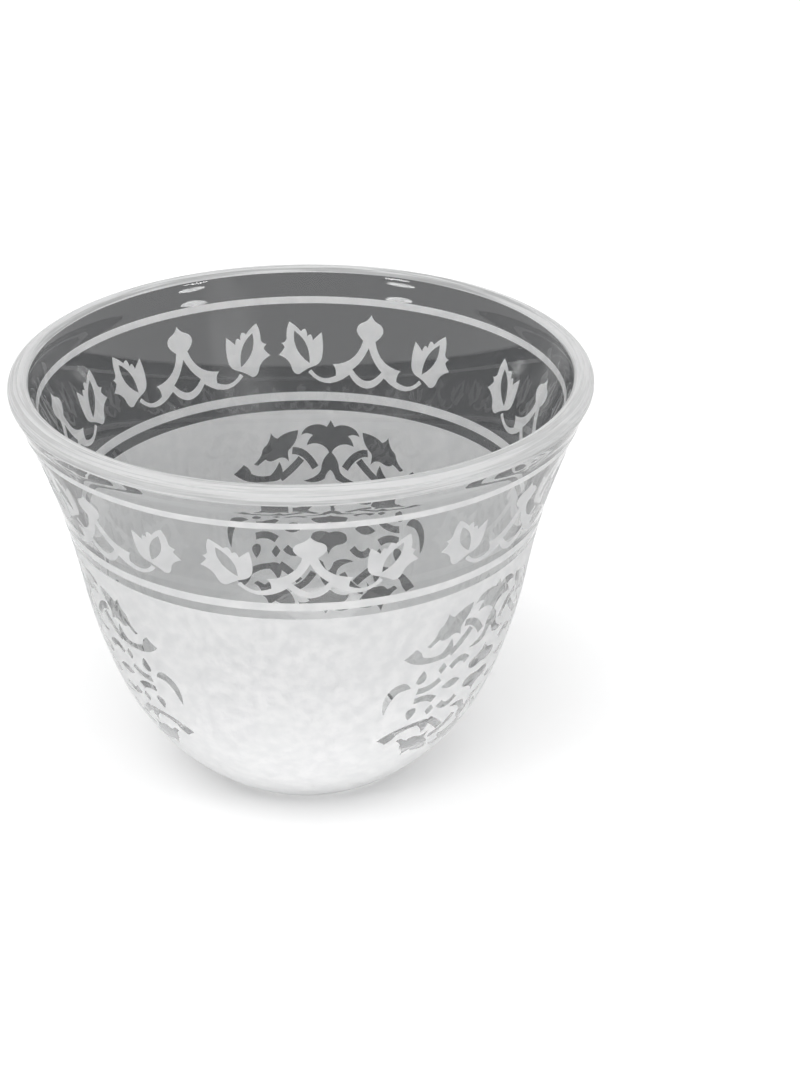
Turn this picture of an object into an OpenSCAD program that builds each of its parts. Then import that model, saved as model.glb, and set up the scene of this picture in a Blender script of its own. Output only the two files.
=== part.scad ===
// Arabic coffee cup of clear glass, with a frosted border of sprigs and a frosted belly.
// The cup stands on z = 0 and its axis is the Z axis. The side with the main sprig faces -Y.
// Sizes are in millimetres.

/* [Cup] */
// Height from the table to the top of the lip
cup_h = 50.4; // [48:0.2:56]
// Diameter over the lip
mouth_d = 66; // [62:0.5:70]
// Diameter at the waist, where the belly turns into the flared wall
waist_d = 52.4; // [50:0.2:54]
// Height of the waist above the table
waist_h = 26.5; // [25.5:0.1:27.5]
// Diameter of the flat that the cup stands on
foot_d = 23; // [21:0.5:25]
// Radius of the rounded edge of the foot
foot_edge_r = 1.2; // [0.8:0.1:2]
// Diameter of the hollow under the foot
punt_d = 17; // [10:0.5:19]
// Depth of the hollow under the foot
punt_h = 0.7; // [0.3:0.1:1.5]

/* [Glass] */
// Thickness of the wall
wall_t = 2.2; // [1.6:0.1:2.4]
// Thickness of the glass at the middle of the floor
floor_t = 5; // [4:0.2:7]
// Radius of the fire-rounded lip
lip_r = 1.25; // [1.2:0.05:1.5]
// Length of wall over which the lip bead runs out inside
lip_run = 3; // [2:0.5:5]
// Lean of the wall at the waist, in degrees off upright
waist_lean = 9.5; // [8.5:0.25:10.5]
// Lean of the wall where the tight curve of the heel starts
knee_lean = 21; // [20:0.5:23]
// Lean of the wall where the foot edge starts
heel_lean = 55; // [53:0.5:57]
// Lean of the inner wall where the floor of the bowl starts
bowl_lean = 55; // [50:1:60]

/* [Frosted lines and field] */
// Thickness of the frosting
frost_t = 0.1; // [0.06:0.02:0.2]
// Distance along the wall from the lip bead down to the middle of the rim line
rim_line_drop = 3.1; // [2.6:0.1:4]
// Width of the rim line
rim_line_w = 0.9; // [0.5:0.1:1.2]
// Distance along the wall between the middles of the rim line and the band line
border_h = 12.1; // [11.5:0.1:13]
// Width of the band line
band_line_w = 1.1; // [0.6:0.1:1.4]
// Width of the clear line between the band line and the frosted field
clear_line_w = 1.2; // [0.8:0.1:1.6]
// Width of the clear margin between the frosted field and the foot edge
foot_margin = 0.4; // [0.2:0.1:1]

/* [Border sprigs] */
// Number of sprigs round the cup
sprigs = 7; // [3:2:7]
// Turn of the middle sprig of the strip from the front, in degrees
sprig_turn = -48.7; // [-60:0.1:-40]
// Turn from one sprig to the next, in degrees. The strip closes with a wider gap behind
sprig_turn_step = 50.2; // [49:0.1:51.4]
// Width of a sprig along the wall
sprig_w = 23.4; // [20:0.2:24]
// Height of a sprig along the wall
sprig_h = 9.2; // [8:0.1:9.4]
// Distance along the wall from the band line's middle up to the foot of a sprig
sprig_lift = 1.3; // [0.9:0.1:1.6]

/* [Roundels] */
// Number of roundels round the cup
roundels = 3; // [2:1:3]
// Turn of the first roundel from the front, in degrees
roundel_turn = 52.3; // [40:0.1:70]
// Width of a roundel along the wall
roundel_w = 30; // [24:0.5:31]
// Height of a roundel along the wall
roundel_h = 25; // [20:0.5:26]
// Distance along the wall from the top of the frosted field to the top of a roundel
roundel_drop = 1.3; // [0.8:0.1:1.6]
// Width of a plain stem in the arabesque
stem_w = 0.95; // [0.7:0.05:1.2]

/* [Hidden] */
// Steps in each arc of the wall, in the lip and in the floor
flare_steps = 6;
belly_steps = 4;
heel_steps = 6;
edge_steps = 3;
lip_steps = 10;
floor_steps = 6;
// Steps in each curved stretch of a drawn outline
curve_steps = 3;
// Sides of the round forms
round_sides = 144;
$fn = round_sides;
glass_colour = [0.80, 0.83, 0.85, 0.55];
frost_colour = [0.95, 0.96, 0.97];

// The wall is three arcs that run into each other: the heel and the belly bulge out and
// the flare curves the other way. A lean is the angle of the wall off upright, and the
// outward side of a wall with that lean looks along outward(lean), as [radius, height].
function outward(lean) = [cos(lean), -sin(lean)];
radian_degrees = 180 / PI;
waist = [waist_d / 2, waist_h];

// Belly and heel radii: both arcs and the foot edge together reach from the waist to the table
down_belly = sin(knee_lean) - sin(waist_lean);
down_heel = sin(heel_lean) - sin(knee_lean);
in_belly = cos(waist_lean) - cos(knee_lean);
in_heel = cos(knee_lean) - cos(heel_lean);
down_all = waist_h - foot_edge_r * (1 - sin(heel_lean));
in_all = (waist_d - foot_d) / 2 - foot_edge_r * cos(heel_lean);
span = down_belly * in_heel - in_belly * down_heel;
belly_r = (down_all * in_heel - in_all * down_heel) / span;
heel_r = (in_all * down_belly - down_all * in_belly) / span;
belly_centre = waist - belly_r * outward(waist_lean);
knee = belly_centre + belly_r * outward(knee_lean);
heel_centre = knee - heel_r * outward(knee_lean);
heel_end = heel_centre + heel_r * outward(heel_lean);
edge_centre = heel_end - foot_edge_r * outward(heel_lean);

// Flare radius: the arc leaves the waist upwards and meets the lip bead without a corner
lip_centre = [mouth_d / 2 - lip_r, cup_h - lip_r];
to_lip = lip_centre - waist;
flare_r = (to_lip * to_lip - lip_r * lip_r) / (2 * (lip_r + to_lip * outward(waist_lean)));
flare_centre = waist + flare_r * outward(waist_lean);
lip_lean = asin((lip_centre[1] - flare_centre[1]) / (flare_r + lip_r));

// Lengths of the arcs along the outer wall. A run is a distance along it from the waist, up positive
flare_run = flare_r * (lip_lean - waist_lean) / radian_degrees;
belly_run = belly_r * (knee_lean - waist_lean) / radian_degrees;
heel_run = heel_r * (heel_lean - knee_lean) / radian_degrees;

// Point on the wall at a run, moved outwards by a depth
function wall_at(run, depth = 0) =
    run >= 0
    ? flare_centre - (flare_r - depth) * outward(waist_lean + run / flare_r * radian_degrees)
    : run >= -belly_run
    ? belly_centre + (belly_r + depth) * outward(waist_lean - run / belly_r * radian_degrees)
    : heel_centre + (heel_r + depth) * outward(knee_lean - (run + belly_run) / heel_r * radian_degrees);

// Runs of the corners that the wall's outline has, from the heel up to the lip
stations = concat(
    [for (i = [heel_steps:-1:1]) -belly_run - heel_run * i / heel_steps],
    [for (i = [belly_steps:-1:1]) -belly_run * i / belly_steps],
    [for (i = [0:flare_steps]) flare_run * i / flare_steps]
);
last_station = len(stations) - 1;

// Point on the outline's straight stretch at a run, moved outwards by a depth
function chord_at(run, depth = 0) =
    let (found = [for (k = [0:last_station - 1]) if (run <= stations[k + 1]) k])
    let (k = len(found) > 0 ? found[0] : last_station - 1)
    let (share = (run - stations[k]) / (stations[k + 1] - stations[k]))
    wall_at(stations[k], depth) * (1 - share) + wall_at(stations[k + 1], depth) * share;

// Runs of the frosting, all hung from the lip
rim_line_run = flare_run - rim_line_drop;
band_line_run = rim_line_run - border_h;
field_top_run = band_line_run - band_line_w / 2 - clear_line_w;
field_foot_run = -belly_run - heel_run + foot_margin;
sprig_run = band_line_run + sprig_lift;
roundel_run = field_top_run - roundel_drop - roundel_h / 2;

// Section of the glass

// Points of an arc round a centre, from one angle to another
function arc(centre, radius, from, to, steps) =
    [for (i = [0:steps]) let (a = from + (to - from) * i / steps) centre + radius * [cos(a), sin(a)]];

// Inner bowl: a corner arc and a floor arc reach from the inner knee to the middle of the floor
inner_knee = knee - wall_t * outward(knee_lean);
bowl_down = inner_knee[1] - floor_t;
bowl_in = inner_knee[0];
corner_down = sin(bowl_lean) - sin(knee_lean);
corner_in = cos(knee_lean) - cos(bowl_lean);
dish_down = 1 - sin(bowl_lean);
dish_in = cos(bowl_lean);
bowl_span = corner_down * dish_in - corner_in * dish_down;
corner_r = (bowl_down * dish_in - bowl_in * dish_down) / bowl_span;
dish_r = (bowl_in * corner_down - bowl_down * corner_in) / bowl_span;
corner_centre = inner_knee - corner_r * outward(knee_lean);
dish_centre = [0, floor_t + dish_r];

function inner_wall() =
    [for (i = [last_station:-1:0]) if (stations[i] > -belly_run && stations[i] < flare_run - lip_run)
        wall_at(stations[i], -wall_t)];

punt_r = (punt_d * punt_d / 4 + punt_h * punt_h) / (2 * punt_h);
punt_half = asin(punt_d / 2 / punt_r);

module glass_section() {
    polygon(concat(
        arc([0, punt_h - punt_r], punt_r, 90, 90 - punt_half, edge_steps),
        arc(edge_centre, foot_edge_r, -90, -heel_lean, edge_steps),
        [for (i = [1:last_station - 1]) wall_at(stations[i])],
        arc(lip_centre, lip_r, -lip_lean, 180 - lip_lean, lip_steps),
        inner_wall(),
        arc(corner_centre, corner_r, -knee_lean, -bowl_lean, edge_steps),
        [for (i = [1:floor_steps]) dish_centre
            + dish_r * outward(bowl_lean + (90 - bowl_lean) * i / floor_steps)]
    ));
}

module glass_body() {
    color(glass_colour) rotate_extrude() glass_section();
}

// Frosting

// Section of a frosting between two runs, lying on the outline of the wall
module frost_section(low, high) {
    runs = concat([low], [for (s = stations) if (s > low && s < high) s], [high]);
    polygon(concat(
        [for (s = runs) chord_at(s, frost_t)],
        [for (i = [len(runs) - 1:-1:0]) chord_at(runs[i])]
    ));
}

// Ring of frosting between two runs, or the part of it that reaches half_turn to each side
module frost_ring(low, high, half_turn = 180) {
    rotate([0, 0, -half_turn])
        rotate_extrude(angle = 2 * half_turn) frost_section(low, high);
}

// Turns a form that is drawn facing +X to an angle round the cup, counted from the front
module facing(turn) {
    rotate([0, 0, turn - 90]) children();
}

// Lays a drawn point [distance along the wall, run] on the wall, seen square from outside
function laid(p) =
    let (spot = wall_at(p[1]))
    [spot[0] * sin(p[0] / spot[0] * radian_degrees), spot[1]];

// Fills a path of corners with a control point between each two, as smooth curves
function drawn(path) =
    [for (i = [0:2:len(path) - 3], j = [0:curve_steps - 1]) let (t = j / curve_steps)
        path[i] * (1 - t) * (1 - t) + path[i + 1] * 2 * t * (1 - t) + path[i + 2] * t * t];

// A half outline from the top down to the foot, closed by its mirror image
function mirrored(path) =
    concat(path, [for (i = [len(path) - 2:-1:0]) [-path[i][0], path[i][1]]]);

// Solid that stands square out from the axis over drawn outlines, to cut the frosting with
module stamp() {
    rotate([90, 0, 90]) translate([0, 0, foot_d / 2])
        linear_extrude(height = mouth_d - foot_d / 2) children();
}

// Border sprigs. Outlines in shares of the sprig's half width and height, corner and control in turn
bud_scroll_shares = [
    [0, 1], [0.03, 0.924], [0.081, 0.897], [0.158, 0.864], [0.150, 0.772],
    [0.132, 0.707], [0.070, 0.647], [0.128, 0.321], [0.393, 0.299],
    [0.342, 0.245], [0.350, 0.147], [0.513, 0.038], [0.624, 0.223],
    [0.645, 0.212], [0.658, 0.185], [0.444, -0.098], [0.199, 0.168],
    [0.111, 0.005], [0, 0]
];
scroll_eye_shares = [
    [0, 0.553], [0.060, 0.353], [0.167, 0.245], [0.081, 0.103], [0, 0.103]
];
tulip_shares = [
    [0.910, 0.880], [0.835, 0.830], [0.772, 0.745], [0.752, 0.782], [0.724, 0.772],
    [0.700, 0.725], [0.698, 0.675], [0.682, 0.705], [0.660, 0.700],
    [0.638, 0.665], [0.632, 0.620], [0.595, 0.675], [0.543, 0.732],
    [0.504, 0.560], [0.516, 0.400], [0.525, 0.300], [0.605, 0.268],
    [0.684, 0.234], [0.752, 0.163], [0.821, 0.147], [0.855, 0.280],
    [0.889, 0.380], [1, 0.435], [0.960, 0.480], [0.940, 0.535],
    [0.952, 0.570], [0.980, 0.595], [0.935, 0.595], [0.925, 0.655],
    [0.940, 0.788], [0.910, 0.880]
];
tulip_slit_shares = [
    [0.846, 0.755], [0.862, 0.485], [0.650, 0.310], [0.655, 0.600], [0.846, 0.755]
];

function on_sprig(shares, side = 1) =
    [for (p = shares) laid([side * p[0] * sprig_w / 2, sprig_run + p[1] * sprig_h])];

// Degrees by which each sprig is off its even place, as they were laid by hand
sprig_drifts = [2.3, -0.1, -1.7, -0.3, -0.6, 0.1, 2.1];

function sprig_facing(i) = sprig_turn + (i - (sprigs + 1) / 2) * sprig_turn_step + sprig_drifts[i - 1];

// Half of the turn that a sprig needs, taken at the waist, where the same width turns further
sprig_half_turn = sprig_w / 2 / waist[0] * radian_degrees;

module sprig_piece(i) {
    facing(sprig_facing(i)) intersection() {
        frost_ring(band_line_run + band_line_w / 2, rim_line_run - rim_line_w / 2, sprig_half_turn);
        stamp() children();
    }
}

module bud_scroll(i) {
    color(frost_colour) sprig_piece(i) difference() {
        polygon(on_sprig(drawn(mirrored(bud_scroll_shares))));
        polygon(on_sprig(drawn(mirrored(scroll_eye_shares))));
    }
}

module tulip(i, side) {
    color(frost_colour) sprig_piece(i) difference() {
        polygon(on_sprig(drawn(tulip_shares), side));
        polygon(on_sprig(drawn(tulip_slit_shares), side));
    }
}

module rim_line() {
    color(frost_colour) frost_ring(rim_line_run - rim_line_w / 2, rim_line_run + rim_line_w / 2);
}

module band_line() {
    color(frost_colour) frost_ring(band_line_run - band_line_w / 2, band_line_run + band_line_w / 2);
}

// Roundels. Outlines in shares of the roundel's half width and half height. Each clear form is
// drawn in the upper right and repeated to the other side and, turned over, in the lower half
palmette_shares = [
    [0, 1], [0.020, 0.955], [0.035, 0.930], [0.080, 0.965], [0.150, 0.950],
    [0.235, 0.930], [0.258, 0.845], [0.205, 0.880], [0.155, 0.842],
    [0.195, 0.805], [0.207, 0.738], [0.140, 0.775], [0.074, 0.740],
    [0.020, 0.705], [0.012, 0.663], [0.075, 0.590], [0.078, 0.500],
    [0.085, 0.405], [0.235, 0.360], [0.125, 0.315], [0.048, 0.385],
    [0.030, 0.460], [0, 0.480]
];
flower_shares = [
    [0.285, 0.895], [0.400, 0.885], [0.465, 0.817], [0.505, 0.830], [0.525, 0.880],
    [0.530, 0.800], [0.565, 0.755], [0.600, 0.730], [0.603, 0.680],
    [0.620, 0.620], [0.675, 0.575], [0.655, 0.550], [0.635, 0.555],
    [0.600, 0.590], [0.570, 0.610], [0.530, 0.560], [0.460, 0.610],
    [0.400, 0.635], [0.362, 0.570], [0.380, 0.650], [0.368, 0.690],
    [0.290, 0.770], [0.285, 0.895]
];
outer_leaf_shares = [
    [0.860, 0.500], [0.815, 0.530], [0.770, 0.580], [0.715, 0.545], [0.700, 0.475],
    [0.620, 0.420], [0.530, 0.435], [0.480, 0.480], [0.450, 0.575],
    [0.405, 0.480], [0.425, 0.415], [0.450, 0.360], [0.530, 0.370],
    [0.650, 0.365], [0.730, 0.400], [0.800, 0.430], [0.860, 0.500]
];
small_leaf_shares = [
    [0.655, 0.300], [0.600, 0.230], [0.620, 0.170], [0.650, 0.125], [0.690, 0.160],
    [0.720, 0.200], [0.655, 0.300]
];
diamond_shares = [
    [0.475, 0.315], [0.495, 0.290], [0.515, 0.250], [0.495, 0.210], [0.475, 0.185],
    [0.455, 0.210], [0.435, 0.250], [0.455, 0.290], [0.475, 0.315]
];
heart_shares = [
    [0, 0.300], [0.020, 0.210], [0.090, 0.190], [0.200, 0.160], [0.150, 0.070],
    [0.090, 0.020], [0, 0.060]
];
bead_shares = [
    [0.235, 0], [0.320, 0.110], [0.430, 0], [0.320, -0.110], [0.235, 0]
];
// A leaf curled over at each end of the roundel
curled_leaf_shares = [
    [0.735, 0.125], [0.780, 0.235], [0.850, 0.210], [0.940, 0.175], [0.940, 0.030],
    [0.935, -0.070], [0.900, -0.140], [0.895, -0.030], [0.875, 0.040],
    [0.845, 0.120], [0.800, 0.120], [0.765, 0.125], [0.735, 0.125]
];
// Middle lines of the plain stems
arch_shares = [[0.335, 0.685], [0.220, 0.690], [0.130, 0.500]];
rise_shares = [[0.255, 0.600], [0.335, 0.483], [0.440, 0.395]];
bow_shares = [[0.215, 0.215], [0.300, 0.345], [0.390, 0.215]];
twig_shares = [[0.470, 0.120], [0.550, 0.035], [0.665, 0.060]];

// Drawn point of a roundel in millimetres from its middle, in one of its four quarters
function quarter(shares, side, end) =
    [for (p = shares) [side * p[0] * roundel_w / 2, end * p[1] * roundel_h / 2]];

function on_roundel(points) = [for (p = points) laid([p[0], roundel_run + p[1]])];

// Outline of a stem of even width along a curve
function stem_outline(path) =
    let (line = concat(drawn(path), [path[2]]), last = len(line) - 1)
    let (across = [for (i = [0:last])
        let (d = line[min(i + 1, last)] - line[max(i - 1, 0)]) [-d[1], d[0]] / norm(d) * stem_w / 2])
    concat([for (i = [0:last]) line[i] + across[i]], [for (i = [last:-1:0]) line[i] - across[i]]);

module clear_form(path) {
    polygon(on_roundel(drawn(path)));
}

module clear_stem(path) {
    polygon(on_roundel(stem_outline(path)));
}

module roundel_quarter(side, end) {
    clear_form(quarter(flower_shares, side, end));
    clear_form(quarter(outer_leaf_shares, side, end));
    clear_form(quarter(small_leaf_shares, side, end));
    clear_form(quarter(diamond_shares, side, end));
    clear_stem(quarter(arch_shares, side, end));
    clear_stem(quarter(rise_shares, side, end));
    clear_stem(quarter(bow_shares, side, end));
    clear_stem(quarter(twig_shares, side, end));
}

module roundel_drawing() {
    for (end = [1, -1]) {
        clear_form(quarter(mirrored(palmette_shares), 1, end));
        clear_form(quarter(mirrored(heart_shares), 1, end));
        for (side = [1, -1]) roundel_quarter(side, end);
    }
    for (side = [1, -1]) {
        clear_form(quarter(bead_shares, side, 1));
        clear_form(quarter(curled_leaf_shares, side, 1));
    }
}

module frosted_field() {
    color(frost_colour) difference() {
        frost_ring(field_foot_run, field_top_run);
        for (i = [0:roundels - 1])
            facing(roundel_turn + i * 360 / roundels) stamp() roundel_drawing();
    }
}

glass_body();
rim_line();
band_line();
frosted_field();
for (i = [1:sprigs]) {
    bud_scroll(i);
    tulip(i, -1);
    tulip(i, 1);
}
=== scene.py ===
"""Looks of an arabic coffee cup: clear glass with a frosted border of sprigs and a frosted belly.

The glass is turned from its section, and every patch of frosting is a thin skin that is drawn flat
and laid on the wall. A drawn point is (distance along the wall, run): a run is a distance up the
outer wall from the waist. Sizes are in millimetres until a mesh is made, which is in metres.
"""
import logging
import math
from dataclasses import dataclass
from enum import Enum
from functools import cached_property
from typing import Iterable, Sequence

import bmesh
import bpy
from mathutils import Matrix, Vector
from mathutils.geometry import delaunay_2d_cdt


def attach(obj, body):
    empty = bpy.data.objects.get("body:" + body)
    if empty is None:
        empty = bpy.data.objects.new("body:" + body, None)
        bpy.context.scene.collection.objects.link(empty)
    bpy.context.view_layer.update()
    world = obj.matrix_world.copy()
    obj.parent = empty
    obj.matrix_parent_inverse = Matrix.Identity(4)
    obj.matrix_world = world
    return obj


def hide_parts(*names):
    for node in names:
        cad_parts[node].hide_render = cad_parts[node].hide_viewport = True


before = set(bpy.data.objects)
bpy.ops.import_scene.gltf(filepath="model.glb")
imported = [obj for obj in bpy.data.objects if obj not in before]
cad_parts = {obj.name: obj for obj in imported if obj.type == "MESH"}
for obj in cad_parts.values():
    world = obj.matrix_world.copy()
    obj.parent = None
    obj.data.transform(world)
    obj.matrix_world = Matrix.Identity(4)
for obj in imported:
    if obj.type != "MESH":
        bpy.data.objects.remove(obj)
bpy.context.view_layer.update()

LOG = logging.getLogger("coffee_cup")
MM = 0.001
FULL_TURN = 2 * math.pi
ON_AXIS = 1e-6
CUT_TOLERANCE = 1e-6
WELD = 0.002
SLIVER = 0.0005

Point = tuple[float, float]
Path = Sequence[Point]
Colour = tuple[float, ...]
Span = tuple[float, float]
Triple = tuple[float, float, float]


class Wire:
    """An output socket of a shader tree that takes part in plain sums."""

    def __init__(self, sheet: "ShaderSheet", socket: bpy.types.NodeSocket) -> None:
        """Keeps the sheet that new Math nodes go on, and the socket itself."""
        self.sheet = sheet
        self.socket = socket

    def _sum(self, operation: str, left: object, right: object) -> "Wire":
        """Adds one Math node and returns its result."""
        return self.sheet.add("ShaderNodeMath", {"operation": operation}, {0: left, 1: right})

    def __add__(self, other: object) -> "Wire":
        """Wire plus a wire or number."""
        return self._sum("ADD", self, other)

    __radd__ = __add__

    def __sub__(self, other: object) -> "Wire":
        """Wire minus a wire or number."""
        return self._sum("SUBTRACT", self, other)

    def __rsub__(self, other: object) -> "Wire":
        """Number minus a wire."""
        return self._sum("SUBTRACT", other, self)

    def __mul__(self, other: object) -> "Wire":
        """Wire times a wire or number."""
        return self._sum("MULTIPLY", self, other)

    __rmul__ = __mul__

    def at_most(self, other: object) -> "Wire":
        """The smaller of the wire and another value."""
        return self._sum("MINIMUM", self, other)

    def at_least(self, other: object) -> "Wire":
        """The larger of the wire and another value."""
        return self._sum("MAXIMUM", self, other)

    def between(self, low: float, high: float) -> "Wire":
        """0 below low and 1 above high, with a soft rise from one to the other.

        Args:
            low: value where the rise starts.
            high: value where the rise ends.

        Returns:
            The mask.
        """
        return self.sheet.add(
            "ShaderNodeMapRange",
            {"interpolation_type": "SMOOTHSTEP"},
            {"Value": self, "From Min": low, "From Max": high, "To Min": 0.0, "To Max": 1.0},
        )


class ShaderSheet:
    """The node tree of one material or of the world."""

    def __init__(self, tree: bpy.types.NodeTree, output: str) -> None:
        """Empties the tree and gives it its output node."""
        tree.nodes.clear()
        self.tree = tree
        self.end = tree.nodes.new(output)

    @classmethod
    def for_material(cls, name: str) -> tuple[bpy.types.Material, "ShaderSheet"]:
        """Makes a new material.

        Args:
            name: the material's name.

        Returns:
            The material and its sheet.
        """
        material = bpy.data.materials.new(name)
        material.use_nodes = True
        return material, cls(material.node_tree, "ShaderNodeOutputMaterial")

    def add(
        self, kind: str, settings: dict[str, object], inputs: dict, output: int | str = 0
    ) -> Wire:
        """Adds a node: its settings come first, then the values or links of its sockets.

        Args:
            kind: Blender's name of the node type.
            settings: properties of the node.
            inputs: a value or a Wire for each input socket, by its name or number.
            output: the name or number of the output to return.

        Returns:
            The chosen output.
        """
        node = self.tree.nodes.new(kind)
        for name, value in settings.items():
            setattr(node, name, value)
        for name, value in inputs.items():
            if isinstance(value, Wire):
                self.tree.links.new(value.socket, node.inputs[name])
            else:
                node.inputs[name].default_value = value
        return Wire(self, node.outputs[output])

    def place(self) -> Wire:
        """The point on the surface, in metres in the cup's own frame."""
        return self.add("ShaderNodeTexCoord", {}, {}, "Object")

    def noise(self, scale: float, detail: float = 2.0, stretch: Triple = (1, 1, 1)) -> Wire:
        """Soft noise from 0 to 1 over the surface.

        Args:
            scale: grains per metre.
            detail: how many finer layers it has.
            stretch: scale of the point along each axis before the noise is read.

        Returns:
            The noise.
        """
        spot = self.add("ShaderNodeMapping", {}, {"Vector": self.place(), "Scale": stretch})
        inputs = {"Vector": spot, "Scale": scale, "Detail": detail}
        return self.add("ShaderNodeTexNoise", {}, inputs)

    def streaks(self, along: float, across: float, detail: float = 2.0) -> Wire:
        """Noise in long streaks that run round the cup.

        Args:
            along: grains per metre round the cup.
            across: grains per metre outwards and upwards.
            detail: how many finer layers it has.

        Returns:
            The noise, from 0 to 1.
        """
        spot = self.place()
        flat = self.add("ShaderNodeVectorMath", {"operation": "MULTIPLY"}, {0: spot, 1: (1, 1, 0)})
        radius = self.add("ShaderNodeVectorMath", {"operation": "LENGTH"}, {0: flat}, "Value")
        long = self.add("ShaderNodeMapping", {}, {"Vector": spot, "Scale": (along, along, across)})
        return self.add(
            "ShaderNodeTexNoise", {"noise_dimensions": "4D"},
            {"Vector": long, "W": radius * across, "Scale": 1.0, "Detail": detail},
        )

    def blend(self, share: object, low: "Colour | Wire", high: "Colour | Wire") -> Wire:
        """A colour between two others.

        Args:
            share: 0 for low and 1 for high.
            low: the first colour.
            high: the second colour.

        Returns:
            The mixed colour.
        """
        node = self.tree.nodes.new("ShaderNodeMix")
        node.data_type = "RGBA"
        ends = {i.identifier: i for i in node.inputs}
        for name, value in (("Factor_Float", share), ("A_Color", low), ("B_Color", high)):
            if isinstance(value, Wire):
                self.tree.links.new(value.socket, ends[name])
            else:
                ends[name].default_value = value
        return Wire(self, {o.identifier: o for o in node.outputs}["Result_Color"])

    def bump(self, height: Wire, strength: float, distance: float) -> Wire:
        """A normal that is tilted by a height.

        Args:
            height: the height over the surface.
            strength: share of the tilt that shows.
            distance: height in metres that a value of 1 stands for.

        Returns:
            The normal.
        """
        inputs = {"Height": height, "Strength": strength, "Distance": distance}
        return self.add("ShaderNodeBump", {}, inputs, "Normal")

    def mix(self, share: object, first: Wire, second: Wire) -> Wire:
        """A shader between two others, by the share of the second."""
        return self.add("ShaderNodeMixShader", {}, {0: share, 1: first, 2: second})

    def finish(self, shader: Wire) -> None:
        """Leads a shader to the output."""
        self.tree.links.new(shader.socket, self.end.inputs["Surface"])


def grey(level: float) -> Colour:
    """An even grey as a colour with alpha."""
    return (level, level, level, 1.0)


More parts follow.
